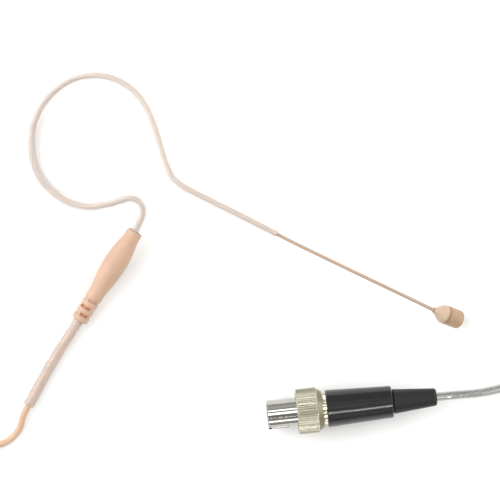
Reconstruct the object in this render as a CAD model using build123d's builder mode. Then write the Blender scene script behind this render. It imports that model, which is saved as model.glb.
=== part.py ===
"""Single-ear headset microphone, lying on a flat surface.

Parts: a moulded splice housing with its ribbed strain relief, a malleable
steel tube that makes the ear loop and the boom (in a clear sheath as far as
the boom's root), a small electret capsule on the tip, a thin cord wound into
a coil, and a round threaded microphone plug.

Millimetres, +Z up.  +X runs from the ear loop to the capsule, the surface is
z = 0, and the origin is the middle of the headset's footprint, cord and plug
left out.
"""
import math
import os

from build123d import *

os.makedirs("parts", exist_ok=True)

# ---------------------------------------------------------------- dimensions
tube_od = 1.20            # malleable steel tube
tube_id = 0.80
lead_dia = 0.50           # screened microphone lead inside the tube
sheath_od = 2.65          # clear sheath over the ear loop and the boom root
sheath_id = 1.30

cable_dia = 2.00          # the cord
relief_sleeve_od = 3.45   # clear sleeve where the cord leaves the housing
relief_sleeve_id = 2.06
braid_od = 2.40           # silver braid over the cord at the plug
braid_id = 2.04
plug_jacket_od = 2.85     # clear jacket over the braid
plug_jacket_id = 2.44

coil_centre = (-101.89, -95.44)
coil_inner_r = 8.50       # outer shape of the coil's turns
coil_outer_r = 14.50
coil_height = 8.00
tie_width = 4.00
tie_thick = 0.50

capsule_r = 3.10
capsule_len = 11.10
cap_start = 5.60          # the cap's rear edge, from the cone's tip

nut_r = 7.50
nut_teeth = 64
nut_front, nut_rear = 9.80, 18.40
barrel_r = 4.80
barrel_bore_r = 4.12
plug_sleeve_front_r, plug_sleeve_rear_r = 6.20, 5.30
plug_sleeve_start, plug_sleeve_end = 19.70, 41.50
boot_start, boot_end = 41.80, 56.40

# route of the steel tube: control points of its centre line, from inside the
# splice housing, round the ear loop, along the boom to the capsule
route = [
    (-39.59, -15.17, 6.32), (-34.44, -7.06, 7.50), (-33.71, -2.06, 8.05),
    (-37.44, 1.08, 8.10), (-43.40, -0.90, 7.05), (-52.12, -2.66, 4.75),
    (-59.52, -0.64, 2.80), (-66.44, 4.46, 1.62), (-70.41, 11.01, 1.31),
    (-71.48, 19.64, 1.44), (-70.00, 27.83, 2.28), (-65.49, 34.63, 3.88),
    (-58.90, 39.70, 5.77), (-51.20, 41.65, 7.71), (-43.44, 40.41, 9.67),
    (-36.57, 36.10, 11.64), (-31.89, 29.39, 13.48), (-28.65, 20.17, 15.53),
    (-25.70, 9.75, 17.83), (-22.46, 5.08, 18.87), (-13.35, 0.44, 20.23),
    (-3.84, -4.19, 20.92), (5.67, -9.03, 21.19), (14.71, -13.73, 21.11),
    (25.95, -19.14, 19.67), (36.61, -24.26, 17.42), (47.08, -29.21, 14.46),
    (57.70, -34.26, 10.36), (62.12, -36.44, 8.50), (63.84, -37.11, 7.30),
]
elbow_from, elbow_to = 17, 19      # runs whose middles bound the boom's elbow
bend_from, bend_to = 22, 23        # runs whose middles bound the boom's bend

# route of the cord from the housing to the coil
lead_route = [
    (-48.54, -29.24, 4.27), (-55.78, -40.63, 2.61), (-63.29, -51.99, 1.78),
    (-70.39, -64.79, 1.76), (-74.19, -71.79, 1.74), (-74.95, -75.91, 1.12),
    (-78.05, -79.67, 1.00), (-82.46, -81.77, 1.00), (-89.49, -82.19, 1.00),
    (-96.49, -81.94, 1.00),
]
relief_sleeve_to = 3               # the clear sleeve ends in the middle of run 3

# route of the cord from the plug to the coil
tail_route = [
    (54.42, -66.20, 6.87), (66.65, -64.90, 6.61), (79.11, -64.02, 5.00),
    (90.01, -61.19, 2.75), (98.11, -63.59, 1.70), (103.11, -69.79, 1.47),
    (104.71, -77.69, 1.45), (102.71, -86.19, 1.08), (97.51, -94.19, 1.00),
    (90.01, -100.99, 1.00), (80.31, -105.99, 1.01), (69.01, -109.39, 1.00),
    (56.01, -110.79, 1.02), (41.51, -110.09, 1.00), (26.51, -111.39, 1.02),
    (11.51, -110.29, 1.00), (-4.49, -111.49, 1.02), (-20.49, -110.19, 1.00),
    (-36.49, -111.09, 1.02), (-51.49, -110.19, 1.00), (-64.99, -110.99, 1.00),
    (-76.49, -110.39, 1.60), (-85.49, -109.59, 4.30), (-91.29, -109.14, 6.45),
    (-96.49, -108.94, 7.00),
]
jacket_to = 5                      # the clear jacket ends in the middle of run 5

# splice housing: top of its axis and the direction towards the cord
housing_top = Vector(-36.61, -10.48, 7.00)
housing_dir = Vector(-0.53261, -0.83753, -0.12187).normalized()

# capsule: tip of its cone and the direction it points in
capsule_tip = Vector(62.12, -36.44, 8.50)
capsule_dir = Vector(0.78190, -0.30330, -0.54464).normalized()

# plug: middle of its nose and the direction towards the boot
plug_nose = Vector(7.20, -71.25, 7.866)
plug_dir = Vector(0.99414, 0.10624, -0.02094).normalized()


# ------------------------------------------------------------------- helpers
def bend_radii(points):
    """Radius of the arc at each inner point: 0.45 of the shorter run over the
    tangent of half the turn."""
    radii = []
    for a, b, c in zip(points, points[1:], points[2:]):
        u, v = Vector(*b) - Vector(*a), Vector(*c) - Vector(*b)
        turn = math.radians(u.get_angle(v))
        radii.append(0.45 * min(u.length, v.length) / math.tan(turn / 2))
    return radii


def middle(points, run):
    """Middle of the run from one point to the next."""
    a, b = Vector(*points[run]), Vector(*points[run + 1])
    return (a + b) * 0.5


def stretch(points, run_a, run_b):
    """Points and radii from the middle of run_a to the middle of run_b; None
    keeps that end of the route."""
    radii = bend_radii(points)
    first = 1 if run_a is None else run_a + 1
    last = len(points) - 2 if run_b is None else run_b
    pts = [Vector(*p) for p in points[first:last + 1]]
    start = Vector(*points[0]) if run_a is None else middle(points, run_a)
    end = Vector(*points[-1]) if run_b is None else middle(points, run_b)
    return [start] + pts + [end], radii[first - 1:last]


def across(path):
    """Plane square to a path at its start."""
    return Plane(origin=path @ 0, z_dir=path % 0)


def turned(origin, direction, side):
    """Frame with Z along a turned part's axis and X along side, and the plane
    that its half profile is drawn on: X radius, Y distance along the axis."""
    side = (side - direction * side.dot(direction)).normalized()
    frame = Plane(origin=origin, x_dir=side, z_dir=direction)
    half = Plane(origin=origin, x_dir=side, z_dir=side.cross(direction))
    return frame, half, Axis(origin, direction)


housing, housing_half, housing_axis = turned(
    housing_top, housing_dir, Vector(0.84261, -0.53584, 0))
capsule, capsule_half, capsule_axis = turned(
    capsule_tip, capsule_dir, Vector(-0.36166, -0.93231, 0))
plug, plug_half, plug_axis = turned(
    plug_nose, plug_dir, Vector(0.10626, -0.99434, 0))

named = {}

# =================================================================== housing
# splice housing with its ribbed strain relief, one moulding
with BuildPart() as junction_overmould:
    with BuildSketch(housing_half):
        with BuildLine():
            Line((1.75, 0.0), (2.25, 0.0))
            ThreePointArc((2.25, 0.0), (2.497, 0.115), (2.60, 0.40))
            Spline((2.60, 0.40), (2.68, 2.00), (2.78, 3.30), (2.98, 4.40),
                   (3.22, 5.60), (3.46, 7.00), (3.67, 8.50), (3.83, 10.30),
                   (3.88, 12.30), (3.85, 14.30), (3.76, 16.20), (3.55, 18.30),
                   (3.30, 20.20), (3.03, 21.70), (2.85, 22.90), (2.80, 24.40),
                   (2.76, 26.60))
            Polyline((2.76, 26.60), (2.70, 26.85), (2.50, 26.85), (2.50, 27.85),
                     (2.58, 27.85), (2.66, 28.00), (2.66, 29.40), (2.58, 29.55),
                     (2.50, 29.55), (2.50, 30.55), (2.60, 30.55), (2.70, 30.70),
                     (2.70, 32.10), (2.60, 32.25), (2.42, 32.25), (2.42, 33.25),
                     (2.55, 33.25))
            ThreePointArc((2.55, 33.25), (2.74, 33.37), (2.80, 33.70))
            Line((2.80, 33.70), (2.80, 34.45))
            ThreePointArc((2.80, 34.45), (2.65, 34.95), (2.25, 35.20))
            Polyline((2.25, 35.20), (1.84, 35.20), (1.84, 25.00),
                     (1.10, 25.00), (1.10, 24.30), (2.25, 24.30),
                     (2.25, 5.60), (1.335, 5.60), (1.335, 0.50),
                     (1.75, 0.50), (1.75, 0.0))
        make_face()
    revolve(axis=housing_axis)
    # flex slots in the three grooves, each with its twin on the far side:
    # start, floor radius, and the angles that it runs between
    for slot_s, floor_r, a0, a1 in ((26.85, 2.22, 36, 111),
                                    (29.55, 2.00, 61, 149),
                                    (32.25, 2.00, 45, 111)):
        for turn in (0, 180):
            wedge = [(4.0 * math.cos(math.radians(a + turn)),
                      4.0 * math.sin(math.radians(a + turn)))
                     for a in (a0, (a0 + a1) / 2, a1)]
            with BuildSketch(housing.offset(slot_s)):
                with BuildLine():
                    Polyline((0, 0), *wedge, close=True)
                make_face()
                Circle(floor_r, mode=Mode.SUBTRACT)
            extrude(amount=1.0, mode=Mode.SUBTRACT)
junction_overmould.part.label = "junction_overmould"
named["junction_overmould"] = junction_overmould

# crimped ferrule that anchors the steel tube
with BuildPart() as core_ferrule:
    with BuildSketch(housing_half):
        with BuildLine():
            Polyline((0.61, 5.75), (1.60, 5.75), (1.60, 7.00), (1.30, 7.15),
                     (1.30, 8.45), (0.61, 8.45), close=True)
        make_face()
    revolve(axis=housing_axis)
core_ferrule.part.label = "core_ferrule"
named["core_ferrule"] = core_ferrule

# circuit board between the microphone lead and the cord
with BuildPart() as splice_board:
    with BuildSketch(housing.offset(10.0)):
        Rectangle(3.40, 0.80)
    extrude(amount=8.0)
    with BuildSketch(housing.offset(11.2)):
        with Locations((0.0, 0.65)):
            Rectangle(1.60, 0.50)
    extrude(amount=2.0)
    with BuildSketch(housing.offset(14.6)):
        with Locations((0.7, 0.60), (-0.7, 0.60)):
            Rectangle(0.80, 0.40)
    extrude(amount=1.6)
splice_board.part.label = "splice_board"
named["splice_board"] = splice_board

# three wires from the board to the cord
with BuildPart() as splice_wires:
    with BuildSketch(housing.offset(18.0)):
        with Locations((-0.6, 0), (0, 0), (0.6, 0)):
            Circle(0.2)
    extrude(amount=4.0)
splice_wires.part.label = "splice_wires"
named["splice_wires"] = splice_wires

# crimp collar that holds the cord in the housing
with BuildPart() as cable_crimp:
    with BuildSketch(housing.offset(22.05)):
        Circle(1.95)
        Circle(cable_dia / 2 + 0.01, mode=Mode.SUBTRACT)
    extrude(amount=2.1)
cable_crimp.part.label = "cable_crimp"
named["cable_crimp"] = cable_crimp

# ================================================================== ear loop
loop_pts, loop_radii = stretch(route, None, elbow_from)
core_pts = [housing_top + housing_dir * 8.60] + loop_pts[1:]
loop_lead_pts = [housing_top + housing_dir * 9.90] + loop_pts[1:]

with BuildPart() as ear_loop_sheath:
    with BuildLine() as ear_loop_line:
        FilletPolyline(*loop_pts, radius=loop_radii)
    with BuildSketch(across(ear_loop_line.line)):
        Circle(sheath_od / 2)
        Circle(sheath_id / 2, mode=Mode.SUBTRACT)
    sweep()
ear_loop_sheath.part.label = "ear_loop_sheath"
named["ear_loop_sheath"] = ear_loop_sheath

with BuildPart() as ear_loop_core:
    with BuildLine() as ear_core_line:
        FilletPolyline(*core_pts, radius=loop_radii)
    with BuildSketch(across(ear_core_line.line)):
        Circle(tube_od / 2)
        Circle(tube_id / 2, mode=Mode.SUBTRACT)
    sweep()
ear_loop_core.part.label = "ear_loop_core"
named["ear_loop_core"] = ear_loop_core

with BuildPart() as ear_loop_lead:
    with BuildLine() as ear_lead_line:
        FilletPolyline(*loop_lead_pts, radius=loop_radii)
    with BuildSketch(across(ear_lead_line.line)):
        Circle(lead_dia / 2)
    sweep()
ear_loop_lead.part.label = "ear_loop_lead"
named["ear_loop_lead"] = ear_loop_lead

# elbow in front of the ear, where the boom is bent to swing it
elbow_pts, elbow_radii = stretch(route, elbow_from, elbow_to)

with BuildPart() as elbow_sheath:
    with BuildLine() as elbow_line:
        FilletPolyline(*elbow_pts, radius=elbow_radii)
    with BuildSketch(across(elbow_line.line)):
        Circle(sheath_od / 2)
        Circle(sheath_id / 2, mode=Mode.SUBTRACT)
    sweep()
elbow_sheath.part.label = "elbow_sheath"
named["elbow_sheath"] = elbow_sheath

with BuildPart() as elbow_core:
    with BuildLine() as elbow_core_line:
        FilletPolyline(*elbow_pts, radius=elbow_radii)
    with BuildSketch(across(elbow_core_line.line)):
        Circle(tube_od / 2)
        Circle(tube_id / 2, mode=Mode.SUBTRACT)
    sweep()
elbow_core.part.label = "elbow_core"
named["elbow_core"] = elbow_core

with BuildPart() as elbow_lead:
    with BuildLine() as elbow_lead_line:
        FilletPolyline(*elbow_pts, radius=elbow_radii)
    with BuildSketch(across(elbow_lead_line.line)):
        Circle(lead_dia / 2)
    sweep()
elbow_lead.part.label = "elbow_lead"
named["elbow_lead"] = elbow_lead

# ====================================================================== boom
root_pts, root_radii = stretch(route, elbow_to, bend_from)

with BuildPart() as boom_sheath:
    with BuildLine() as root_line:
        FilletPolyline(*root_pts, radius=root_radii)
    with BuildSketch(across(root_line.line)):
        Circle(sheath_od / 2)
        Circle(sheath_id / 2, mode=Mode.SUBTRACT)
    sweep()
boom_sheath.part.label = "boom_sheath"
named["boom_sheath"] = boom_sheath

with BuildPart() as boom_root:
    with BuildLine() as root_core_line:
        FilletPolyline(*root_pts, radius=root_radii)
    with BuildSketch(across(root_core_line.line)):
        Circle(tube_od / 2)
        Circle(tube_id / 2, mode=Mode.SUBTRACT)
    sweep()
boom_root.part.label = "boom_root"
named["boom_root"] = boom_root

with BuildPart() as boom_root_lead:
    with BuildLine() as root_lead_line:
        FilletPolyline(*root_pts, radius=root_radii)
    with BuildSketch(across(root_lead_line.line)):
        Circle(lead_dia / 2)
    sweep()
boom_root_lead.part.label = "boom_root_lead"
named["boom_root_lead"] = boom_root_lead

# bend past the sheath, where the boom is bent to lift it
bend_pts, bend_radius = stretch(route, bend_from, bend_to)

with BuildPart() as boom_bend:
    with BuildLine() as bend_line:
        FilletPolyline(*bend_pts, radius=bend_radius)
    with BuildSketch(across(bend_line.line)):
        Circle(tube_od / 2)
        Circle(tube_id / 2, mode=Mode.SUBTRACT)
    sweep()
boom_bend.part.label = "boom_bend"
named["boom_bend"] = boom_bend

with BuildPart() as boom_bend_lead:
    with BuildLine() as bend_lead_line:
        FilletPolyline(*bend_pts, radius=bend_radius)
    with BuildSketch(across(bend_lead_line.line)):
        Circle(lead_dia / 2)
    sweep()
boom_bend_lead.part.label = "boom_bend_lead"
named["boom_bend_lead"] = boom_bend_lead

boom_pts, boom_radii = stretch(route, bend_to, None)
boom_lead_pts = boom_pts[:-1] + [capsule_tip + capsule_dir * 4.05]

with BuildPart() as boom_tube:
    with BuildLine() as boom_line:
        FilletPolyline(*boom_pts, radius=boom_radii)
    with BuildSketch(across(boom_line.line)):
        Circle(tube_od / 2)
        Circle(tube_id / 2, mode=Mode.SUBTRACT)
    sweep()
boom_tube.part.label = "boom_tube"
named["boom_tube"] = boom_tube

with BuildPart() as boom_lead:
    with BuildLine() as boom_lead_line:
        FilletPolyline(*boom_lead_pts, radius=boom_radii)
    with BuildSketch(across(boom_lead_line.line)):
        Circle(lead_dia / 2)
    sweep()
boom_lead.part.label = "boom_lead"
named["boom_lead"] = boom_lead

# =================================================================== capsule
# rear housing: a short cone, and the spigot that the cap pushes onto
with BuildPart() as capsule_cone:
    with BuildSketch(capsule_half):
        with BuildLine():
            Line((0.74, 0.0), (0.86, 0.0))
            Spline((0.86, 0.0), (1.04, 0.55), (1.42, 1.40), (1.92, 2.20),
                   (2.44, 3.00), (2.86, 3.75), (3.02, 4.10))
            Polyline((3.02, 4.10), (capsule_r, 4.42), (capsule_r, 4.60),
                     (2.62, 4.60), (2.62, 7.20), (2.22, 7.20), (2.22, 3.60),
                     (0.74, 2.60), (0.74, 0.0))
        make_face()
    revolve(axis=capsule_axis)
capsule_cone.part.label = "capsule_cone"
named["capsule_cone"] = capsule_cone

# soft ring in the groove between cone and cap
with BuildPart() as capsule_seal:
    with BuildSketch(capsule_half):
        with BuildLine():
            Polyline((2.64, 4.65), (2.98, 4.65), (3.04, 4.75), (3.04, 5.45),
                     (2.98, 5.55), (2.64, 5.55), close=True)
        make_face()
    revolve(axis=capsule_axis)
capsule_seal.part.label = "capsule_seal"
named["capsule_seal"] = capsule_seal

# electret cartridge can
with BuildPart() as electret_can:
    with BuildSketch(capsule_half):
        with BuildLine():
            Polyline((1.95, 4.05), (2.15, 4.05), (2.15, 9.60), (0.80, 9.60),
                     (0.80, 9.40), (1.95, 9.40), close=True)
        make_face()
    revolve(axis=capsule_axis)
electret_can.part.label = "electret_can"
named["electret_can"] = electret_can

with BuildPart() as fet_board:
    with BuildSketch(capsule.offset(4.12)):
        Circle(1.90)
    extrude(amount=0.50)
    with BuildSketch(capsule.offset(4.62)):
        with Locations((0.4, 0.2)):
            Rectangle(1.4, 1.0)
    extrude(amount=0.60)
fet_board.part.label = "fet_board"
named["fet_board"] = fet_board

with BuildPart() as backplate:
    with BuildSketch(capsule.offset(8.50)):
        Circle(1.85)
        with PolarLocations(1.0, 4):
            Circle(0.25, mode=Mode.SUBTRACT)
    extrude(amount=0.30)
backplate.part.label = "backplate"
named["backplate"] = backplate

with BuildPart() as diaphragm:
    with BuildSketch(capsule.offset(9.00)):
        Circle(1.90)
    extrude(amount=0.10)
    with BuildSketch(capsule.offset(9.10)):
        Circle(1.90)
        Circle(1.55, mode=Mode.SUBTRACT)
    extrude(amount=0.25)
diaphragm.part.label = "diaphragm"
named["diaphragm"] = diaphragm

# cap that pulls off the front
with BuildPart() as capsule_cap:
    with BuildSketch(capsule.offset(cap_start)):
        Circle(capsule_r)
    extrude(amount=capsule_len - cap_start)
    fillet(capsule_cap.edges().group_by(
        lambda e: (e.center() - capsule_tip).dot(capsule_dir))[-1], 0.5)
    with BuildSketch(capsule.offset(cap_start)):
        Circle(2.68)
    extrude(amount=4.85, mode=Mode.SUBTRACT)
    with BuildSketch(capsule.offset(cap_start + 4.3)):
        Circle(0.32)
        with PolarLocations(1.45, 6):
            Circle(0.32)
    extrude(amount=2.0, mode=Mode.SUBTRACT)
capsule_cap.part.label = "capsule_cap"
named["capsule_cap"] = capsule_cap

with BuildPart() as acoustic_mesh:
    with BuildSketch(capsule.offset(10.10)):
        Circle(2.60)
    extrude(amount=0.30)
acoustic_mesh.part.label = "acoustic_mesh"
named["acoustic_mesh"] = acoustic_mesh

# ====================================================================== cord
lead_pts, lead_radii = stretch(lead_route, None, None)
sleeve_pts, sleeve_radii = stretch(lead_route, None, relief_sleeve_to)
sleeve_pts = [housing_top + housing_dir * 25.05] + sleeve_pts[1:]

with BuildPart() as cable_lead:
    with BuildLine() as cable_lead_line:
        FilletPolyline(*lead_pts, radius=lead_radii)
    with BuildSketch(across(cable_lead_line.line)):
        Circle(cable_dia / 2)
    sweep()
cable_lead.part.label = "cable_lead"
named["cable_lead"] = cable_lead

with BuildPart() as cable_sleeve:
    with BuildLine() as sleeve_line:
        FilletPolyline(*sleeve_pts, radius=sleeve_radii)
    with BuildSketch(across(sleeve_line.line)):
        Circle(relief_sleeve_od / 2)
        Circle(relief_sleeve_id / 2, mode=Mode.SUBTRACT)
    sweep()
cable_sleeve.part.label = "cable_sleeve"
named["cable_sleeve"] = cable_sleeve

# outer shape of the coil, with a waist where the tie holds it
with BuildPart() as cable_coil:
    with BuildSketch(Plane(origin=(*coil_centre, 0), x_dir=(1, 0, 0),
                           z_dir=(0, -1, 0))):
        with Locations(((coil_inner_r + coil_outer_r) / 2, coil_height / 2)):
            RectangleRounded(coil_outer_r - coil_inner_r, coil_height, 0.9)
    revolve(axis=Axis((*coil_centre, 0), (0, 0, 1)))
    with BuildSketch(Plane(origin=(coil_centre[0] - tie_width / 2,
                                   coil_centre[1], 0),
                           x_dir=(0, 1, 0), z_dir=(1, 0, 0))):
        with Locations((-11.5, coil_height / 2)):
            Rectangle(9.0, 10.0)
            RectangleRounded(5.0, coil_height - 2 * tie_thick, 0.7,
                             mode=Mode.SUBTRACT)
    extrude(amount=tie_width, mode=Mode.SUBTRACT)
cable_coil.part.label = "cable_coil"
named["cable_coil"] = cable_coil

with BuildPart() as coil_tie:
    with BuildSketch(Plane(origin=(coil_centre[0] - tie_width / 2 + 0.1,
                                   coil_centre[1], 0),
                           x_dir=(0, 1, 0), z_dir=(1, 0, 0))):
        with Locations((-11.5, coil_height / 2)):
            RectangleRounded(6.0, coil_height - 0.04, 1.1)
            RectangleRounded(5.04, coil_height - 2 * tie_thick + 0.04, 0.7,
                             mode=Mode.SUBTRACT)
    extrude(amount=tie_width - 0.2)
coil_tie.part.label = "coil_tie"
named["coil_tie"] = coil_tie

tail_pts, tail_radii = stretch(tail_route, None, None)
jacket_pts, jacket_radii = stretch(tail_route, None, jacket_to)
jacket_pts = [plug_nose + plug_dir * 44.5] + jacket_pts[1:]

with BuildPart() as cable_tail:
    with BuildLine() as cable_tail_line:
        FilletPolyline(*tail_pts, radius=tail_radii)
    with BuildSketch(across(cable_tail_line.line)):
        Circle(cable_dia / 2)
    sweep()
cable_tail.part.label = "cable_tail"
named["cable_tail"] = cable_tail

with BuildPart() as braid_sleeve:
    with BuildLine() as braid_line:
        FilletPolyline(*jacket_pts, radius=jacket_radii)
    with BuildSketch(across(braid_line.line)):
        Circle(braid_od / 2)
        Circle(braid_id / 2, mode=Mode.SUBTRACT)
    sweep()
braid_sleeve.part.label = "braid_sleeve"
named["braid_sleeve"] = braid_sleeve

with BuildPart() as plug_jacket:
    with BuildLine() as jacket_line:
        FilletPolyline(*jacket_pts, radius=jacket_radii)
    with BuildSketch(across(jacket_line.line)):
        Circle(plug_jacket_od / 2)
        Circle(plug_jacket_id / 2, mode=Mode.SUBTRACT)
    sweep()
plug_jacket.part.label = "plug_jacket"
named["plug_jacket"] = plug_jacket

# ====================================================================== plug
slot_turn = -20.0          # the keyway's place round the axis, in degrees
spring_side = (plug.x_dir * math.cos(math.radians(slot_turn))
               + plug.y_dir * math.sin(math.radians(slot_turn)))
spring_frame = Plane(origin=plug_nose, x_dir=spring_side, z_dir=plug_dir)

# nickel barrel: nose, shoulder that the nut pulls on, neck and rear thread
with BuildPart() as plug_barrel:
    with BuildSketch(plug_half):
        with BuildLine():
            Polyline((barrel_bore_r, 0.0), (4.62, 0.0), (barrel_r, 0.18),
                     (barrel_r, 13.40), (6.00, 13.40), (6.00, 14.60),
                     (5.10, 14.60), (5.10, 18.70), (4.56, 18.70),
                     (4.56, 24.00), (3.60, 24.00), (3.60, 13.05),
                     (barrel_bore_r, 13.05), close=True)
        make_face()
    revolve(axis=plug_axis)
    with BuildSketch(spring_frame.offset(-0.2)):
        with Locations((4.6, 0)):
            Rectangle(2.0, 1.7)
    extrude(amount=6.7, mode=Mode.SUBTRACT)
plug_barrel.part.label = "plug_barrel"
named["plug_barrel"] = plug_barrel

# spring leaf in the keyway
with BuildPart() as ground_spring:
    with BuildSketch(Plane(origin=spring_frame.origin,
                           x_dir=spring_frame.x_dir,
                           z_dir=spring_frame.x_dir.cross(plug_dir))):
        with BuildLine():
            Polyline((4.35, 6.30), (4.60, 6.30), (4.66, 2.60), (4.78, 1.70),
                     (4.60, 0.90), (4.38, 0.90), (4.54, 1.70), (4.42, 2.60),
                     close=True)
        make_face()
    extrude(amount=0.6, both=True)
ground_spring.part.label = "ground_spring"
named["ground_spring"] = ground_spring

# moulded contact carrier
with BuildPart() as contact_insert:
    with BuildSketch(plug.offset(2.40)):
        Circle(4.10)
    extrude(amount=10.60)
    with BuildSketch(plug.offset(2.30)):
        with PolarLocations(2.0, 4, start_angle=25):
            Circle(0.58)
    extrude(amount=10.80, mode=Mode.SUBTRACT)
    with BuildSketch(spring_frame.offset(2.30)):
        with Locations((4.1, 0)):
            Rectangle(2.0, 1.9)
    extrude(amount=4.8, mode=Mode.SUBTRACT)
contact_insert.part.label = "contact_insert"
named["contact_insert"] = contact_insert

# four socket contacts
with BuildPart() as socket_contacts:
    with BuildSketch(plug.offset(2.60)):
        with PolarLocations(2.0, 4, start_angle=25):
            Circle(0.55)
    extrude(amount=12.0)
    with BuildSketch(plug.offset(2.50)):
        with PolarLocations(2.0, 4, start_angle=25):
            Circle(0.36)
    extrude(amount=6.5, mode=Mode.SUBTRACT)
socket_contacts.part.label = "socket_contacts"
named["socket_contacts"] = socket_contacts

# four wires from the contacts to the cord
with BuildPart() as plug_wires:
    for k in range(4):
        ang = math.radians(25 + 90 * k)
        cx, cy = math.cos(ang), math.sin(ang)
        with BuildLine() as wire_line:
            FilletPolyline(plug.from_local_coords(Vector(2.0 * cx, 2.0 * cy, 14.62)),
                           plug.from_local_coords(Vector(2.0 * cx, 2.0 * cy, 20.0)),
                           plug.from_local_coords(Vector(0.55 * cx, 0.55 * cy, 27.0)),
                           plug.from_local_coords(Vector(0.55 * cx, 0.55 * cy, 30.9)),
                           radius=4.0)
        with BuildSketch(across(wire_line.line)):
            Circle(0.28)
        sweep()
plug_wires.part.label = "plug_wires"
named["plug_wires"] = plug_wires

# loose ring behind the barrel's shoulder that carries the nut
with BuildPart() as slip_ring:
    with BuildSketch(plug.offset(15.25)):
        Circle(6.40)
        Circle(5.22, mode=Mode.SUBTRACT)
    extrude(amount=0.55)
slip_ring.part.label = "slip_ring"
named["slip_ring"] = slip_ring

# knurled coupling nut with its thread
knurl_depth = 0.24
star = []
for k in range(nut_teeth):
    for r, da in ((nut_r, 0.0), (nut_r - knurl_depth, 0.5)):
        a = 2 * math.pi * (k + da) / nut_teeth
        star.append((r * math.cos(a), r * math.sin(a)))

with BuildPart() as coupling_nut:
    with BuildSketch(plug_half):
        with BuildLine():
            Polyline((6.75, nut_front), (7.00, nut_front),
                     (nut_r - knurl_depth, nut_front + 0.25),
                     (nut_r - knurl_depth, 16.60), (7.05, 16.78),
                     (5.92, nut_rear), (5.20, nut_rear), (5.20, 15.85),
                     (6.60, 15.85), (6.60, 13.60), (6.95, 13.35),
                     (6.60, 13.10), (6.60, 12.75), (6.95, 12.50),
                     (6.60, 12.25), (6.60, 11.90), (6.95, 11.65),
                     (6.60, 11.40), (6.60, 11.05), (6.95, 10.80),
                     (6.60, 10.55), (6.60, 10.20), close=True)
        make_face()
    revolve(axis=plug_axis)
    with BuildSketch(plug.offset(nut_front + 0.25)):
        with BuildLine():
            Polyline(*star, close=True)
        make_face()
        Circle(7.10, mode=Mode.SUBTRACT)
    extrude(amount=6.45)
coupling_nut.part.label = "coupling_nut"
named["coupling_nut"] = coupling_nut

# toothed lock washer between neck and rear sleeve
with BuildPart() as lock_washer:
    with BuildSketch(plug.offset(18.75)):
        Circle(4.92)
        with PolarLocations(4.85, 24):
            RegularPolygon(0.26, 4)
        Circle(4.60, mode=Mode.SUBTRACT)
    extrude(amount=0.85)
lock_washer.part.label = "lock_washer"
named["lock_washer"] = lock_washer

# glossy rear sleeve
with BuildPart() as plug_sleeve:
    with BuildSketch(plug_half):
        with BuildLine():
            Polyline((4.60, plug_sleeve_start), (5.95, plug_sleeve_start),
                     (plug_sleeve_front_r, plug_sleeve_start + 0.25),
                     (plug_sleeve_rear_r, plug_sleeve_end - 0.25),
                     (5.05, plug_sleeve_end), (3.06, plug_sleeve_end),
                     (3.06, 39.60), (4.60, 38.60), close=True)
        make_face()
    revolve(axis=plug_axis)
plug_sleeve.part.label = "plug_sleeve"
named["plug_sleeve"] = plug_sleeve

# insulating liner inside the rear sleeve
with BuildPart() as plug_liner:
    with BuildSketch(plug.offset(24.20)):
        Circle(4.50)
        Circle(4.00, mode=Mode.SUBTRACT)
    extrude(amount=13.30)
plug_liner.part.label = "plug_liner"
named["plug_liner"] = plug_liner

# stripped end of the cord inside the plug
with BuildPart() as plug_cable_end:
    with BuildSketch(plug.offset(31.0)):
        Circle(cable_dia / 2)
    extrude(amount=16.50)
plug_cable_end.part.label = "plug_cable_end"
named["plug_cable_end"] = plug_cable_end

# clamp collar round that end
with BuildPart() as cable_clamp:
    with BuildSketch(plug.offset(32.50)):
        Circle(3.40)
        Circle(cable_dia / 2 + 0.01, mode=Mode.SUBTRACT)
        with Locations((0, 2.4)):
            Rectangle(0.5, 2.2, mode=Mode.SUBTRACT)
    extrude(amount=4.0)
cable_clamp.part.label = "cable_clamp"
named["cable_clamp"] = cable_clamp

# soft boot
with BuildPart() as plug_boot:
    with BuildSketch(plug_half):
        with BuildLine():
            Polyline((1.47, 38.00), (3.70, 38.00), (3.70, 38.60),
                     (3.02, 39.30), (3.02, boot_start), (3.85, boot_start),
                     (4.10, boot_start + 0.25), (2.95, boot_end - 1.10))
            ThreePointArc((2.95, boot_end - 1.10), (2.68, boot_end - 0.30),
                          (2.05, boot_end))
            Polyline((2.05, boot_end), (1.47, boot_end), (1.47, 38.00))
        make_face()
    revolve(axis=plug_axis)
plug_boot.part.label = "plug_boot"
named["plug_boot"] = plug_boot

# ==================================================================== export
for label, piece in named.items():
    export_step(piece.part, f"parts/{label}.step")

for label, pts, radii, line, dia in (
        ("cable_lead", lead_pts, lead_radii, cable_lead_line, cable_dia),
        ("cable_tail", tail_pts, tail_radii, cable_tail_line, cable_dia)):
    length = line.wires()[0].length
    print(label, "radii", [round(r, 1) for r in radii], "length",
          round(length, 1), "volume", round(named[label].part.volume, 2),
          "section x length", round(math.pi * dia ** 2 / 4 * length, 2))
print("coil volume", round(cable_coil.part.volume, 1))
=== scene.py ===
"""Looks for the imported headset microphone.  Metres, same frame as the part."""
import math

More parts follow.
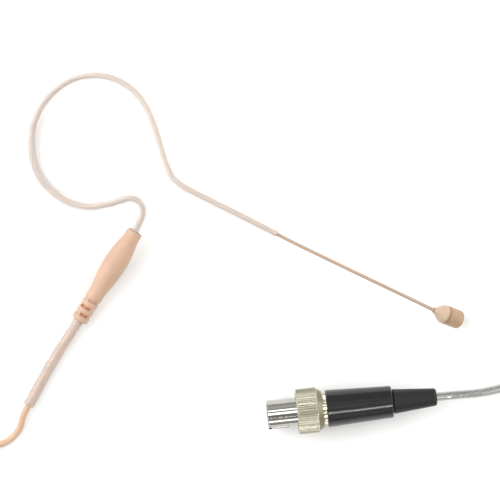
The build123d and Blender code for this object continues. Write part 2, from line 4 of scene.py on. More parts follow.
import bmesh
import bpy
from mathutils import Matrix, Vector


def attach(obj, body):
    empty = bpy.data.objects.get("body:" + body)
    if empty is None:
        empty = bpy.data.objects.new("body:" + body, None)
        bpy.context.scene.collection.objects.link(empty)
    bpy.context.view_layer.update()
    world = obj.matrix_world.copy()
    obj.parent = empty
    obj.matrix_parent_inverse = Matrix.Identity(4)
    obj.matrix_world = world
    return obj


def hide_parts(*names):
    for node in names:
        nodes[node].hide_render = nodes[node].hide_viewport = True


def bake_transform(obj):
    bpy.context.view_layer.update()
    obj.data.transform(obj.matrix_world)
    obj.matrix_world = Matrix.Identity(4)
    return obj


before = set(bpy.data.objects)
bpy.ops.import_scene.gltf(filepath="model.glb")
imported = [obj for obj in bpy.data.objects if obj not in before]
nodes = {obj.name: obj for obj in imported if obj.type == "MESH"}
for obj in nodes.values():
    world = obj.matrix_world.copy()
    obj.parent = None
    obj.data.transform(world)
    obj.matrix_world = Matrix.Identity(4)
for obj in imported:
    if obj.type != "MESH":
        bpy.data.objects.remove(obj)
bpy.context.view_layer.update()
MM = 0.001

# --------------------------------------------------------------- the routes
route = [
    (-39.59, -15.17, 6.32), (-34.44, -7.06, 7.50), (-33.71, -2.06, 8.05),
    (-37.44, 1.08, 8.10), (-43.40, -0.90, 7.05), (-52.12, -2.66, 4.75),
    (-59.52, -0.64, 2.80), (-66.44, 4.46, 1.62), (-70.41, 11.01, 1.31),
    (-71.48, 19.64, 1.44), (-70.00, 27.83, 2.28), (-65.49, 34.63, 3.88),
    (-58.90, 39.70, 5.77), (-51.20, 41.65, 7.71), (-43.44, 40.41, 9.67),
    (-36.57, 36.10, 11.64), (-31.89, 29.39, 13.48), (-28.65, 20.17, 15.53),
    (-25.70, 9.75, 17.83), (-22.46, 5.08, 18.87), (-13.35, 0.44, 20.23),
    (-3.84, -4.19, 20.92), (5.67, -9.03, 21.19), (14.71, -13.73, 21.11),
    (25.95, -19.14, 19.67), (36.61, -24.26, 17.42), (47.08, -29.21, 14.46),
    (57.70, -34.26, 10.36), (62.12, -36.44, 8.50), (63.84, -37.11, 7.30),
]
lead_route = [
    (-48.54, -29.24, 4.27), (-55.78, -40.63, 2.61), (-63.29, -51.99, 1.78),
    (-70.39, -64.79, 1.76), (-74.19, -71.79, 1.74), (-74.95, -75.91, 1.12),
    (-78.05, -79.67, 1.00), (-82.46, -81.77, 1.00), (-89.49, -82.19, 1.00),
    (-96.49, -81.94, 1.00),
]
tail_route = [
    (54.42, -66.20, 6.87), (66.65, -64.90, 6.61), (79.11, -64.02, 5.00),
    (90.01, -61.19, 2.75), (98.11, -63.59, 1.70), (103.11, -69.79, 1.47),
    (104.71, -77.69, 1.45), (102.71, -86.19, 1.08), (97.51, -94.19, 1.00),
    (90.01, -100.99, 1.00), (80.31, -105.99, 1.01), (69.01, -109.39, 1.00),
    (56.01, -110.79, 1.02), (41.51, -110.09, 1.00), (26.51, -111.39, 1.02),
    (11.51, -110.29, 1.00), (-4.49, -111.49, 1.02), (-20.49, -110.19, 1.00),
    (-36.49, -111.09, 1.02), (-51.49, -110.19, 1.00), (-64.99, -110.99, 1.00),
    (-76.49, -110.39, 1.60), (-85.49, -109.59, 4.30), (-91.29, -109.14, 6.45),
    (-96.49, -108.94, 7.00),
]
coil_centre = (-101.89, -95.44)
housing_top = Vector((-36.61, -10.48, 7.00))
housing_dir = Vector((-0.53261, -0.83753, -0.12187)).normalized()
capsule_tip = Vector((62.12, -36.44, 8.50))
capsule_dir = Vector((0.78190, -0.30330, -0.54464)).normalized()
plug_nose = Vector((7.20, -71.25, 7.866))
plug_dir = Vector((0.99414, 0.10624, -0.02094)).normalized()


def middle(points, run):
    a, b = points[run], points[run + 1]
    return tuple((p + q) / 2 for p, q in zip(a, b))


def stretch(points, run_a, run_b):
    """Control points from the middle of one run to the middle of another;
    None keeps that end of the route."""
    first = 1 if run_a is None else run_a + 1
    last = len(points) - 2 if run_b is None else run_b
    start = points[0] if run_a is None else middle(points, run_a)
    end = points[-1] if run_b is None else middle(points, run_b)
    return [start] + list(points[first:last + 1]) + [end]


# ------------------------------------------------------------------- camera
view_x, view_y = 1.41 * MM, -16.59 * MM
cam_data = bpy.data.cameras.new("camera")
cam_data.sensor_width = 36.0
cam_data.lens = 36.0 * 1200.0 / (500.0 / 3.0)
cam_data.clip_start = 0.01
cam_data.clip_end = 20.0
cam = bpy.data.objects.new("camera", cam_data)
cam.location = (view_x, view_y, 1.2)
cam.rotation_euler = (0.0, 0.0, 0.0)
bpy.context.scene.collection.objects.link(cam)
bpy.context.scene.camera = cam
bpy.context.scene.view_settings.view_transform = "Standard"


# ---------------------------------------------------------------- mesh tools
def link(ob):
    bpy.context.scene.collection.objects.link(ob)
    return ob


def spline_curve(name, points, resolution=12, closed=False):
    cu = bpy.data.curves.new(name, "CURVE")
    cu.dimensions = "3D"
    sp = cu.splines.new("NURBS")
    sp.points.add(len(points) - 1)
    for p, co in zip(sp.points, points):
        p.co = (co[0] * MM, co[1] * MM, co[2] * MM, 1.0)
    sp.order_u = 3
    sp.use_endpoint_u = True
    sp.resolution_u = resolution
    cu.resolution_u = resolution
    return cu


def spline_points(name, points, resolution=12):
    """The points along the smooth line of a route."""
    ob = link(bpy.data.objects.new(name + "_line",
                                   spline_curve(name + "_line", points,
                                                resolution)))
    bpy.context.view_layer.update()
    dg = bpy.context.evaluated_depsgraph_get()
    me = bpy.data.meshes.new_from_object(ob.evaluated_get(dg))
    out = [v.co.copy() for v in me.vertices]
    bpy.data.meshes.remove(me)
    bpy.data.objects.remove(ob)
    if (out[0] - Vector(points[0]) * MM).length > (out[-1] - Vector(points[0]) * MM).length:
        out.reverse()
    return out


def frames_along(path):
    """A turning-free frame at each point of a path."""
    tangents = []
    for i in range(len(path)):
        a, b = path[max(i - 1, 0)], path[min(i + 1, len(path) - 1)]
        tangents.append((b - a).normalized())
    up = Vector((0, 0, 1))
    side = up.cross(tangents[0]).normalized()
    out = []
    for i, t in enumerate(tangents):
        if i:
            side = (side - t * side.dot(t)).normalized()
        out.append((path[i], side.copy(), t.cross(side).normalized(), t))
    return out


def tube(name, path, r_out, r_in, seg=40, cap_start=True, cap_end=True,
         lip=0.0):
    """A hollow tube along a path, its cut ends square with a small lip, or
    left open where the next stretch of the same tube carries on."""
    fr = frames_along(path)
    outer = [(c, s, u, r_out) for c, s, u, t in fr]
    inner = [(c, s, u, r_in) for c, s, u, t in fr]
    if lip > 0:
        if cap_end:
            c, s, u, t = fr[-1]
            outer[-1] = (c - t * lip, s, u, r_out)
            outer.append((c - t * lip * 0.3, s, u, r_out - lip * 0.3))
            outer.append((c, s, u, r_out - lip))
            inner[-1] = (c - t * lip, s, u, r_in)
            inner.append((c - t * lip * 0.3, s, u, r_in + lip * 0.3))
            inner.append((c, s, u, r_in + lip))
    bm = bmesh.new()

    def rows(sections):
        out = []
        for c, s, u, r in sections:
            out.append([bm.verts.new(c + (s * math.cos(2 * math.pi * k / seg)
                                          + u * math.sin(2 * math.pi * k / seg)) * r)
                        for k in range(seg)])
        return out

    def skin(a, b, flip=False):
        for k in range(seg):
            quad = (a[k], a[(k + 1) % seg], b[(k + 1) % seg], b[k])
            bm.faces.new(quad[::-1] if flip else quad)

    o, i = rows(outer), rows(inner)
    for a, b in zip(o, o[1:]):
        skin(a, b)
    for a, b in zip(i, i[1:]):
        skin(a, b, True)
    if cap_start:
        skin(i[0], o[0])
    if cap_end:
        skin(o[-1], i[-1])
    if cap_start and cap_end:
        bmesh.ops.recalc_face_normals(bm, faces=bm.faces)
    me = bpy.data.meshes.new(name)
    bm.to_mesh(me)
    bm.free()
    for p in me.polygons:
        p.use_smooth = True
    return link(bpy.data.objects.new(name, me))


def rod(name, path, radius, seg=28, cap_start=True, cap_end=True):
    """A solid round rod along a path."""
    fr = frames_along(path)
    bm = bmesh.new()
    rows = []
    for c, s, u, t in fr:
        rows.append([bm.verts.new(c + (s * math.cos(2 * math.pi * k / seg)
                                       + u * math.sin(2 * math.pi * k / seg)) * radius)
                     for k in range(seg)])
    for a, b in zip(rows, rows[1:]):
        for k in range(seg):
            bm.faces.new((a[k], a[(k + 1) % seg], b[(k + 1) % seg], b[k]))
    if cap_start:
        bm.faces.new(rows[0][::-1])
    if cap_end:
        bm.faces.new(rows[-1])
    me = bpy.data.meshes.new(name)
    bm.to_mesh(me)
    bm.free()
    for p in me.polygons:
        p.use_smooth = len(p.vertices) == 4
    return link(bpy.data.objects.new(name, me))


# ----------------------------------------------------------------- materials
class Nodes:
    """A material's node tree with the shader at its end."""

    def __init__(self, name, **sockets):
        self.mat = bpy.data.materials.new(name)
        self.mat.use_nodes = True
        self.nt = self.mat.node_tree
        self.bsdf = self.nt.nodes["Principled BSDF"]
        self.coord = self.nt.nodes.new("ShaderNodeTexCoord")
        for k, v in sockets.items():
            self.bsdf.inputs[k.replace("_", " ")].default_value = v

    def set(self, **sockets):
        for k, v in sockets.items():
            self.bsdf.inputs[k.replace("_", " ")].default_value = v

    def node(self, kind, **props):
        n = self.nt.nodes.new(kind)
        for k, v in props.items():
            setattr(n, k, v)
        return n

    def link(self, a, b):
        self.nt.links.new(a, b)

    def noise(self, scale, detail=4.0, rough=0.5, stretch=None):
        t = self.node("ShaderNodeTexNoise")
        t.inputs["Scale"].default_value = scale
        t.inputs["Detail"].default_value = detail
        t.inputs["Roughness"].default_value = rough
        if stretch is None:
            self.link(self.coord.outputs["Object"], t.inputs["Vector"])
        else:
            m = self.node("ShaderNodeMapping")
            m.inputs["Rotation"].default_value = stretch[0]
            m.inputs["Scale"].default_value = stretch[1]
            self.link(self.coord.outputs["Object"], m.inputs["Vector"])
            self.link(m.outputs["Vector"], t.inputs["Vector"])
        return t.outputs["Fac"]

    def ramp(self, fac, stops, mode="LINEAR"):
        r = self.node("ShaderNodeValToRGB")
        r.color_ramp.interpolation = mode
        e = r.color_ramp.elements
        e[0].position, e[1].position = stops[0][0], stops[-1][0]
        e[0].color, e[1].color = (*stops[0][1], 1), (*stops[-1][1], 1)
        for pos, col in stops[1:-1]:
            x = e.new(pos)
            x.color = (*col, 1)
        self.link(fac, r.inputs["Fac"])
        return r.outputs["Color"]

    def spread(self, fac, lo, hi, flo=0.3, fhi=0.7):
        m = self.node("ShaderNodeMapRange")
        m.inputs["From Min"].default_value = flo
        m.inputs["From Max"].default_value = fhi
        m.inputs["To Min"].default_value = lo
        m.inputs["To Max"].default_value = hi
        self.link(fac, m.inputs["Value"])
        return m.outputs["Result"]

    def mix(self, fac, a, b):
        m = self.node("ShaderNodeMix", data_type="RGBA")
        if hasattr(fac, "links"):
            self.link(fac, m.inputs[0])
        else:
            m.inputs[0].default_value = fac
        for v, s in ((a, m.inputs[6]), (b, m.inputs[7])):
            if hasattr(v, "links"):
                self.link(v, s)
            else:
                s.default_value = (*v, 1)
        return m.outputs[2]

    def math(self, op, a, b=0.0):
        m = self.node("ShaderNodeMath", operation=op)
        for v, s in ((a, m.inputs[0]), (b, m.inputs[1])):
            if hasattr(v, "links"):
                self.link(v, s)
            else:
                s.default_value = v
        return m.outputs[0]

    def bump(self, height, distance, strength=1.0, after=None):
        b = self.node("ShaderNodeBump")
        b.inputs["Strength"].default_value = strength
        b.inputs["Distance"].default_value = distance
        self.link(height, b.inputs["Height"])
        if after is not None:
            self.link(after, b.inputs["Normal"])
        return b.outputs["Normal"]

    def out(self, colour=None, rough=None, normal=None):
        if colour is not None:
            self.link(colour, self.bsdf.inputs["Base Color"])
        if rough is not None:
            self.link(rough, self.bsdf.inputs["Roughness"])
        if normal is not None:
            self.link(normal, self.bsdf.inputs["Normal"])
        return self.mat


def moulded(name, light, dark, rough=(0.42, 0.56), grain=0.00002, sss=0.0,
            scale=240.0):
    """Moulded or painted surface: slow colour drift, fine grain."""
    m = Nodes(name)
    if sss:
        m.set(Subsurface_Weight=sss, Subsurface_Scale=0.0012,
              Subsurface_Radius=(1.0, 0.55, 0.35))
    drift = m.noise(scale, 3.0, 0.55)
    fine = m.noise(5200.0, 3.0, 0.6)
    col = m.mix(m.spread(drift, 0.0, 1.0), light, dark)
    col = m.mix(m.spread(fine, 0.0, 0.10), col, tuple(c * 0.8 for c in dark))
    return m.out(col, m.spread(fine, rough[0], rough[1]),
                 m.bump(fine, grain, 0.6))


def housing_paint():
    """The housing's beige, with painted shade on the floors of the slots
    in its ribbed tail: a darker, deeper orange standing in for the shade in them."""
    mat = moulded("beige_housing", (0.475, 0.312, 0.222), (0.44, 0.285, 0.20),
                  sss=0.12, grain=0.000015)
    nt = mat.node_tree
    bsdf = nt.nodes["Principled BSDF"]
    link_in = bsdf.inputs["Base Color"].links[0]
    plain = link_in.from_socket

    def node(kind, **props):
        n = nt.nodes.new(kind)
        for k, v in props.items():
            setattr(n, k, v)
        return n

    coord = node("ShaderNodeTexCoord").outputs["Object"]
    rel = node("ShaderNodeVectorMath", operation="SUBTRACT")
    nt.links.new(coord, rel.inputs[0])
    rel.inputs[1].default_value = tuple(housing_top * MM)
    dot = node("ShaderNodeVectorMath", operation="DOT_PRODUCT")
    nt.links.new(rel.outputs[0], dot.inputs[0])
    dot.inputs[1].default_value = tuple(housing_dir)
    along = dot.outputs["Value"]
    length = node("ShaderNodeVectorMath", operation="LENGTH")
    nt.links.new(rel.outputs[0], length.inputs[0])
    far = node("ShaderNodeMath", operation="MULTIPLY")
    nt.links.new(length.outputs["Value"], far.inputs[0])
    nt.links.new(length.outputs["Value"], far.inputs[1])
    near = node("ShaderNodeMath", operation="MULTIPLY")
    nt.links.new(along, near.inputs[0])
    nt.links.new(along, near.inputs[1])
    r2 = node("ShaderNodeMath", operation="SUBTRACT")
    nt.links.new(far.outputs[0], r2.inputs[0])
    nt.links.new(near.outputs[0], r2.inputs[1])

    def window(value, lo, hi, to_lo=0.0, to_hi=1.0):
        n = node("ShaderNodeMapRange")
        n.inputs["From Min"].default_value = lo
        n.inputs["From Max"].default_value = hi
        n.inputs["To Min"].default_value = to_lo
        n.inputs["To Max"].default_value = to_hi
        nt.links.new(value, n.inputs["Value"])
        return n.outputs["Result"]

    # painted shade: the deep floors of the tail's slots take a darker, deeper orange for the
    # shade that falls in them, darker still past the first, shallow slot
    deep = window(r2.outputs[0], (2.38 * MM) ** 2, (2.30 * MM) ** 2)
    tail = window(along, 26.7 * MM, 26.8 * MM)
    end = window(along, 33.5 * MM, 33.3 * MM)
    both = node("ShaderNodeMath", operation="MULTIPLY")
    nt.links.new(deep, both.inputs[0])
    nt.links.new(tail, both.inputs[1])
    slot_shade_mask = node("ShaderNodeMath", operation="MULTIPLY")
    nt.links.new(both.outputs[0], slot_shade_mask.inputs[0])
    nt.links.new(end, slot_shade_mask.inputs[1])
    slot_shade_colour = node("ShaderNodeMix", data_type="RGBA")
    nt.links.new(window(along, 28.2 * MM, 29.2 * MM), slot_shade_colour.inputs[0])
    slot_shade_colour.inputs[6].default_value = (0.47, 0.275, 0.175, 1)
    slot_shade_colour.inputs[7].default_value = (0.42, 0.185, 0.085, 1)
    col = node("ShaderNodeMix", data_type="RGBA")
    nt.links.new(slot_shade_mask.outputs[0], col.inputs[0])
    nt.links.new(plain, col.inputs[6])
    nt.links.new(slot_shade_colour.outputs[2], col.inputs[7])
    nt.links.remove(link_in)
    nt.links.new(col.outputs[2], bsdf.inputs["Base Color"])
    return mat


beige_housing = housing_paint()
tube_paint = moulded("tube_paint", (0.385, 0.275, 0.195), (0.35, 0.25, 0.175),
                     (0.30, 0.42), 0.000006, scale=500.0)
core_paint = moulded("core_paint", (0.47, 0.36, 0.28), (0.43, 0.325, 0.25),
                     (0.35, 0.5), 0.000006, scale=300.0)
# cone and cap are one beige paint; the cap is a painted-shade copy, darker and more
# saturated where its side turns away from the light
cone_paint = moulded("cone_paint", (0.46, 0.34, 0.245), (0.42, 0.31, 0.22),
                     (0.34, 0.46), 0.00001, scale=500.0)
cap_shaded_paint = moulded("cap_shaded_paint", (0.37, 0.243, 0.145), (0.335, 0.213, 0.125),
                    (0.34, 0.46), 0.00001, scale=500.0)
seal_mat = moulded("seal_rubber", (0.325, 0.205, 0.125), (0.28, 0.17, 0.10))
cord_mat = moulded("cord_beige", (0.50, 0.33, 0.215), (0.455, 0.297, 0.19),
                   (0.38, 0.52), 0.000012, scale=180.0)
tie_mat = moulded("tie_beige", (0.40, 0.28, 0.20), (0.33, 0.23, 0.16), (0.7, 0.9),
                  0.00004)
boot_black = moulded("boot_black", (0.007, 0.007, 0.0072), (0.005, 0.005, 0.0052),
                     (0.42, 0.56), 0.00002)
boot_black.node_tree.nodes["Principled BSDF"].inputs[
    "Specular IOR Level"].default_value = 0.36
insert_mat = moulded("insert_black", (0.03, 0.03, 0.03), (0.02, 0.02, 0.02))


def clear(name, tint, rough=(0.10, 0.20), ior=1.46, milk=0.2):
    """Soft clear plastic, a little milky: faint streaks along it and fine
    grain.  milk is the share of light that it scatters instead of passing."""
    m = Nodes(name)
    m.set(Transmission_Weight=1.0 - milk, IOR=ior)
    streak = m.noise(900.0, 3.0, 0.6)
    fine = m.noise(2600.0, 2.0, 0.5)
    col = m.mix(m.spread(streak, 0.0, 1.0), tint, tuple(c * 0.97 for c in tint))
    return m.out(col, m.spread(fine, rough[0], rough[1]),
                 m.bump(streak, 0.000004, 0.2))


sheath_mat = clear("sheath_clear", (0.93, 0.875, 0.835), (0.16, 0.26), milk=0.30)
relief_mat = clear("relief_clear", (0.96, 0.90, 0.85), (0.16, 0.26), milk=0.22)
jacket_mat = clear("jacket_clear", (0.97, 0.97, 0.945), (0.04, 0.09), milk=0.03)


def metal(name, light, dark, rough, scratch=0.0, scale=900.0):
    m = Nodes(name, Metallic=1.0)
    n = m.noise(scale, 4.0, 0.6)
    f = m.noise(6000.0, 2.0, 0.6)
    col = m.mix(m.spread(n, 0.0, 1.0), light, dark)
    nrm = m.bump(f, scratch, 0.5) if scratch else None
    return m.out(col, m.spread(f, rough[0], rough[1]), nrm)


barrel_mat = metal("barrel_nickel", (0.49, 0.485, 0.455), (0.45, 0.44, 0.405), (0.05, 0.11),
                   0.000003)
def nut_metal():
    """Nickel with a yellow cast; the chamfer at the back of the nut is painted
    dark, a painted shade and painted dark reflection beside the neck."""
    mat = metal("nut_nickel", (0.58, 0.56, 0.455), (0.46, 0.44, 0.34), (0.24, 0.38),
                0.00003)
    nt = mat.node_tree
    bsdf = nt.nodes["Principled BSDF"]
    old = bsdf.inputs["Base Color"].links[0]
    plain = old.from_socket
    rel = nt.nodes.new("ShaderNodeVectorMath")
    rel.operation = "SUBTRACT"
    nt.links.new(nt.nodes.new("ShaderNodeTexCoord").outputs["Object"], rel.inputs[0])
    rel.inputs[1].default_value = tuple(plug_nose * MM)
    dot = nt.nodes.new("ShaderNodeVectorMath")
    dot.operation = "DOT_PRODUCT"
    nt.links.new(rel.outputs[0], dot.inputs[0])
    dot.inputs[1].default_value = tuple(plug_dir)
    # painted shade: from the chamfer onwards the colour turns dark, standing in for the dark
    # reflection and shade there
    rear = nt.nodes.new("ShaderNodeMapRange")
    rear.inputs["From Min"].default_value = 16.70 * MM
    rear.inputs["From Max"].default_value = 16.82 * MM
    nt.links.new(dot.outputs["Value"], rear.inputs["Value"])
    col = nt.nodes.new("ShaderNodeMix")
    col.data_type = "RGBA"
    nt.links.new(rear.outputs["Result"], col.inputs[0])
    nt.links.new(plain, col.inputs[6])
    col.inputs[7].default_value = (0.20, 0.18, 0.12, 1)
    nt.links.remove(old)
    nt.links.new(col.outputs[2], bsdf.inputs["Base Color"])
    return mat


nut_mat = nut_metal()
gold_mat = metal("washer_gold", (0.88, 0.79, 0.58), (0.78, 0.68, 0.46), (0.08, 0.18),
                 0.000004)
spring_mat = metal("spring_steel", (0.72, 0.71, 0.68), (0.62, 0.61, 0.58), (0.15, 0.28),
                   0.000004)
steel_mat = metal("inner_steel", (0.62, 0.62, 0.60), (0.52, 0.52, 0.50), (0.25, 0.4),
                  0.000006)


def black_gloss():
    m = Nodes("sleeve_black")
    m.set(IOR=1.5)
    slow = m.noise(160.0, 3.0, 0.5)
    fine = m.noise(3000.0, 3.0, 0.6)
    col = m.mix(m.spread(slow, 0.0, 1.0), (0.009, 0.009, 0.0095),
                (0.013, 0.013, 0.0135))
    nrm = m.bump(slow, 0.00012, 0.5)
    return m.out(col, m.spread(fine, 0.16, 0.26), m.bump(fine, 0.000006, 0.4, nrm))


sleeve_mat = black_gloss()


def paint(ob, mat):
    ob.data.materials.clear()
    ob.data.materials.append(mat)
    return ob


def dress(node, mat):
    """A CAD node keeps its shape and takes a material."""
    ob = nodes[node]
    if not ob.material_slots:
        ob.data.materials.append(mat)
    for s in ob.material_slots:
        s.material = mat


# -------------------------------------------------------------- ear and boom
elbow_from, elbow_to, bend_from, bend_to = 17, 19, 22, 23
sheath_out, sheath_in = 1.325 * MM, 0.65 * MM
core_r = 0.60 * MM

loop_ctrl = stretch(route, None, elbow_from)
elbow_ctrl = stretch(route, elbow_from, elbow_to)
root_ctrl = stretch(route, elbow_to, bend_from)
bend_ctrl = stretch(route, bend_from, bend_to)
boom_ctrl = stretch(route, bend_to, None)
core_ctrl = [tuple(housing_top + housing_dir * 8.6)] + loop_ctrl[1:]

loop_line = spline_points("loop", loop_ctrl, 16)
elbow_line = spline_points("elbow", elbow_ctrl, 20)
root_line = spline_points("root", root_ctrl, 16)
bend_line = spline_points("bend", bend_ctrl, 24)
boom_line = spline_points("boom", boom_ctrl, 16)
core_line = spline_points("core", core_ctrl, 16)

loop_sheath = rod("loop_sheath", loop_line, sheath_out, 40, cap_end=False)
paint(loop_sheath, sheath_mat)
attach(loop_sheath, "base")
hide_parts("ear_loop_sheath")

elbow_sheath = rod("elbow_sheath_skin", elbow_line, sheath_out, 40,
                   cap_start=False, cap_end=False)
paint(elbow_sheath, sheath_mat)
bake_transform(elbow_sheath)
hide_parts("elbow_sheath")

root_sheath = rod("root_sheath", root_line, sheath_out, 40, cap_start=False)
paint(root_sheath, sheath_mat)
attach(root_sheath, "boom_root")
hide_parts("boom_sheath")

loop_core = rod("loop_core", core_line, core_r, cap_end=False)
paint(loop_core, core_paint)
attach(loop_core, "base")
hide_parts("ear_loop_core", "ear_loop_lead")

elbow_core = rod("elbow_core_skin", elbow_line, core_r, cap_start=False, cap_end=False)
paint(elbow_core, core_paint)
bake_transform(elbow_core)
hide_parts("elbow_core", "elbow_lead")

root_core = rod("root_core", root_line, core_r, cap_start=False, cap_end=False)
paint(root_core, core_paint)
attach(root_core, "boom_root")
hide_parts("boom_root", "boom_root_lead")

bend_skin = rod("boom_bend_skin", bend_line, core_r, cap_start=False, cap_end=False)
paint(bend_skin, tube_paint)
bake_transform(bend_skin)
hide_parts("boom_bend", "boom_bend_lead")

boom_skin = rod("boom_skin", boom_line, core_r, cap_start=False)
paint(boom_skin, tube_paint)
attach(boom_skin, "boom")
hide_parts("boom_tube", "boom_lead")

# --------------------------------------------------------------------- cord
STEP = 18.0


def coil_points():
    """Turns of the coil: three beside each other, four on each other, with
    the step from one to the next always at the same place round it."""
    columns = (13.5, 11.5, 9.5)
    cells = []
    for layer in range(4):
        order = columns if layer % 2 == 0 else columns[::-1]
        cells += [(r, 1.0 + 2.0 * layer) for r in order]
    out = []
    a = 90.0 + STEP
    end = 90.0 + 360.0 * 11.5
    grow = 1.0 / math.cos(math.radians(STEP / 2)) ** 0.5
    while a < end + 1e-6:
        turn = int((a - 90.0) // 360.0)
        within = (a - 90.0) % 360.0
        r, z = cells[min(turn, 11)]
        if within > 285.0 and turn < 11:
            t = (within - 285.0) / 75.0
            t = t * t * (3 - 2 * t)
            r2, z2 = cells[turn + 1]
            r, z = r + (r2 - r) * t, z + (z2 - z) * t
        out.append((coil_centre[0] + r * grow * math.cos(math.radians(a)),
                    coil_centre[1] + r * grow * math.sin(math.radians(a)), z))
        a += STEP
    return out


cord_ctrl = lead_route + coil_points() + tail_route[::-1]
cord_curve = spline_curve("cord", cord_ctrl, 8)
cord_curve.bevel_depth = 1.0 * MM
cord_curve.bevel_resolution = 6
cord_curve.use_fill_caps = True
cord = link(bpy.data.objects.new("cord", cord_curve))
cord.data.materials.append(cord_mat)
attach(cord, "base")
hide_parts("cable_lead", "cable_coil", "cable_tail")

cord_line = spline_points("cord_measure", cord_ctrl, 8)

sleeve_ctrl = stretch(lead_route, None, 3)
sleeve_ctrl[0] = tuple(housing_top + housing_dir * 25.05)
sleeve_line = spline_points("sleeve", sleeve_ctrl, 20)
relief = rod("relief_sleeve", sleeve_line, 1.725 * MM, 44)
paint(relief, relief_mat)
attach(relief, "base")
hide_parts("cable_sleeve")

jacket_ctrl = stretch(tail_route, None, 5)
jacket_ctrl[0] = tuple(plug_nose + plug_dir * 44.5)
jacket_line = spline_points("jacket", jacket_ctrl, 20)
jacket = rod("plug_jacket_skin", jacket_line, 1.425 * MM, 44)
paint(jacket, jacket_mat)
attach(jacket, "base")
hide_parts("plug_jacket")


def braid_material():
    m = Nodes("braid_silver", Metallic=1.0)
    n = m.noise(1500.0, 2.0, 0.5)
    col = m.mix(m.spread(n, 0.0, 1.0), (0.62, 0.62, 0.61), (0.42, 0.42, 0.42))
    return m.out(col, m.spread(n, 0.18, 0.30), m.bump(n, 0.00002, 0.4))


braid = tube("braid_skin", jacket_line, 1.20 * MM, 1.02 * MM)
paint(braid, braid_material())
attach(braid, "base")
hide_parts("braid_sleeve")

# ---------------------------------------------------------------- CAD pieces
dress("junction_overmould", beige_housing)
for n in ("core_ferrule", "cable_crimp", "cable_clamp", "electret_can", "backplate"):
    dress(n, steel_mat)
for n in ("splice_board", "fet_board"):
    dress(n, moulded("board_green_" + n, (0.03, 0.12, 0.06), (0.02, 0.09, 0.045)))
for n in ("splice_wires", "plug_wires", "socket_contacts", "lock_washer"):
    dress(n, gold_mat)
dress("capsule_cone", cone_paint)
dress("capsule_cap", cap_shaded_paint)
dress("capsule_seal", seal_mat)
dress("acoustic_mesh", steel_mat)
dress("diaphragm", gold_mat)
dress("coil_tie", tie_mat)
dress("plug_barrel", barrel_mat)
dress("ground_spring", spring_mat)
dress("slip_ring", spring_mat)
dress("contact_insert", insert_mat)
dress("coupling_nut", nut_mat)
dress("plug_sleeve", sleeve_mat)
dress("plug_liner", insert_mat)
dress("plug_cable_end", cord_mat)
dress("plug_boot", boot_black)

# ---------------------------------------------------------- floor and lights
bm = bmesh.new()
half = 1.5
vs = [bm.verts.new((x * half, y * half, -0.00002))
      for x, y in ((-1, -1), (1, -1), (1, 1), (-1, 1))]
bm.faces.new(vs)
me = bpy.data.meshes.new("floor")
bm.to_mesh(me)
bm.free()
floor = link(bpy.data.objects.new("floor", me))
fm = Nodes("floor_white")
fm.set(Specular_IOR_Level=0.0)
f = fm.noise(30.0, 2.0, 0.5)
floor.data.materials.append(fm.out(fm.mix(fm.spread(f, 0.0, 1.0), (0.80, 0.80, 0.80),
                                          (0.805, 0.803, 0.80))))
fm.set(Roughness=0.9)

world = bpy.data.worlds.new("studio")
bpy.context.scene.world = world
world.use_nodes = True
wt = world.node_tree
bg = wt.nodes["Background"]


def wnode(kind, *inputs, **props):
    n = wt.nodes.new(kind)
    for k, v in props.items():
        setattr(n, k, v)
    for k, v in enumerate(inputs):
        if v is None:
            continue
        if hasattr(v, "links"):
            wt.links.new(v, n.inputs[k])
        else:
            n.inputs[k].default_value = v
    return n


def wmath(op, a, b=0.0, c=None):
    return wnode("ShaderNodeMath", a, b, c, operation=op).outputs[0]


def step(v, lo, hi, to_lo=0.0, to_hi=1.0):
    n = wt.nodes.new("ShaderNodeMapRange")
    n.interpolation_type = "SMOOTHSTEP"
    n.inputs["From Min"].default_value = lo
    n.inputs["From Max"].default_value = hi
    n.inputs["To Min"].default_value = to_lo
    n.inputs["To Max"].default_value = to_hi
    wt.links.new(v, n.inputs["Value"])
    return n.outputs["Result"]


sep = wnode("ShaderNodeSeparateXYZ", wt.nodes.new("ShaderNodeTexCoord").outputs["Generated"])
dir_x, dir_y, dir_z = sep.outputs[0], sep.outputs[1], sep.outputs[2]
over = wmath("ARCTAN2", wmath("MULTIPLY", dir_y, -1.0), dir_z)
# the softboxes stand in line with the connector, 6.1 degrees round from +X
box_x = wmath("ADD", wmath("MULTIPLY", dir_x, 0.9943), wmath("MULTIPLY", dir_y, 0.1063))
box_y = wmath("ADD", wmath("MULTIPLY", dir_x, -0.1063), wmath("MULTIPLY", dir_y, 0.9943))
box_over = wmath("ARCTAN2", wmath("MULTIPLY", box_y, -1.0), dir_z)
turn = wnode("ShaderNodeMapRange", box_over, -math.pi / 2, math.pi / 2).outputs[0]

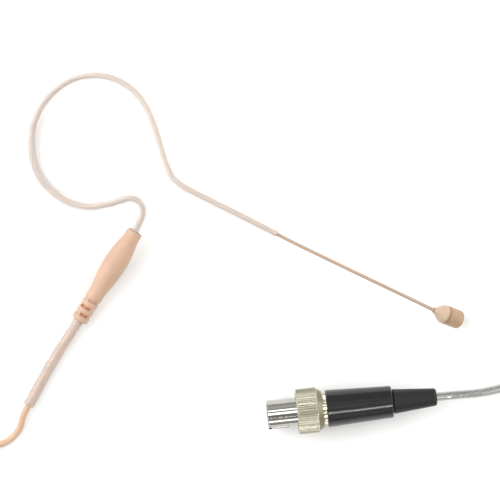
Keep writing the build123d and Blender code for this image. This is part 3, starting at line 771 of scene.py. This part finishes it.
# radiance across the middle of the studio, from the +Y side (-90 degrees) over
# the top (0) to the -Y side (90): softboxes with black gaps between them
bands = [(-90, 0.45), (-80, 0.50), (-62, 0.72), (-50, 0.72), (-38, 0.25),
         (-34, 3.6), (-26, 3.6), (-23, 0.10), (-15, 0.10), (-11, 5.0),
         (0, 5.0), (4, 0.35), (9, 0.20), (20, 0.36), (44, 0.36), (49, 0.42),
         (53, 3.4), (61, 3.4), (65, 0.75), (74, 0.60), (84, 0.30), (90, 0.30)]
ramp = wt.nodes.new("ShaderNodeValToRGB")
ramp.color_ramp.interpolation = "LINEAR"
el = ramp.color_ramp.elements
top_band = 6.0
el[0].position, el[1].position = 0.0, 1.0
el[0].color = (bands[0][1] / top_band,) * 3 + (1,)
el[1].color = (bands[-1][1] / top_band,) * 3 + (1,)
for deg, v in bands[1:-1]:
    e = el.new((deg + 90) / 180)
    e.color = (v / top_band,) * 3 + (1,)
wt.links.new(turn, ramp.inputs["Fac"])
middle_light = wmath("MULTIPLY", ramp.outputs["Color"], top_band)
# the softboxes end a little to the +X side of overhead
softbox_end = wmath("MULTIPLY", step(box_x, -0.22, -0.12), step(box_x, 0.09, 0.06))
gap_light = 0.30
middle_mix = wmath("MULTIPLY_ADD", softbox_end,
                   wmath("SUBTRACT", middle_light, gap_light), gap_light)
# broad wash from both ends, stronger from -X and from +Y
left = wmath("MULTIPLY", step(dir_x, -0.28, -0.55), 2.6)
right = wmath("MULTIPLY", step(dir_x, 0.34, 0.60), 1.9)
lean = step(dir_y, -0.8, 0.8, 0.38, 1.68)
wash = wmath("MULTIPLY", wmath("MULTIPLY", wmath("ADD", left, right), lean),
             step(dir_z, 0.02, 0.34, 0.35, 1.12))
# a narrow lamp towards +X
lamp = wmath("MULTIPLY",
             wmath("MULTIPLY", step(over, math.radians(23.5), math.radians(25)),
                   step(over, math.radians(31), math.radians(29.5))),
             wmath("MULTIPLY", step(dir_x, 0.118, 0.130), step(dir_x, 0.27, 0.22)))
total = wmath("ADD", wmath("ADD", middle_mix, wash), wmath("MULTIPLY", lamp, 26.0))
wt.links.new(total, bg.inputs["Strength"])
bg.inputs["Color"].default_value = (1.0, 0.995, 0.985, 1)
